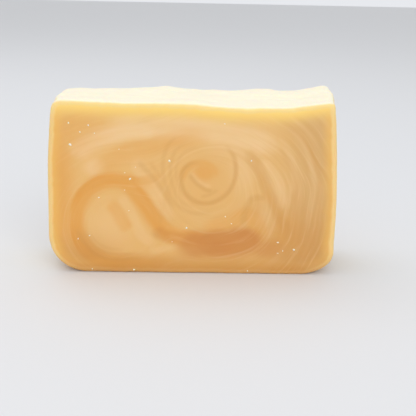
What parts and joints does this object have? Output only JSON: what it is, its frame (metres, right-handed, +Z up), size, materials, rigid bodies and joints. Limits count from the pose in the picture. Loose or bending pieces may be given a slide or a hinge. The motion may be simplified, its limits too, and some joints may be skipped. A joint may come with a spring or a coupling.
{
  "type": "bar of soap",
  "caption": "Hand-cut upright slice of loaf soap with rounded base corners, leaning mould walls, a wavy open top and soft edges, for washing the hands or body",
  "frame": {"origin": "middle of the bar's box in plan, on the surface that the mould base stands on", "axes": "+Z up, from the mould base to the open top; +X along the bar's length; the front cut face looks along -Y"},
  "size_m": [0.09, 0.025, 0.0566],
  "materials": {
    "soap": "cured soap, waxy and faintly translucent: swirled honey and brown on the cut faces, cream on the open top"
  },
  "bodies": {
    "root": {"soap_bar": "soap"}
  },
  "joints": []
}
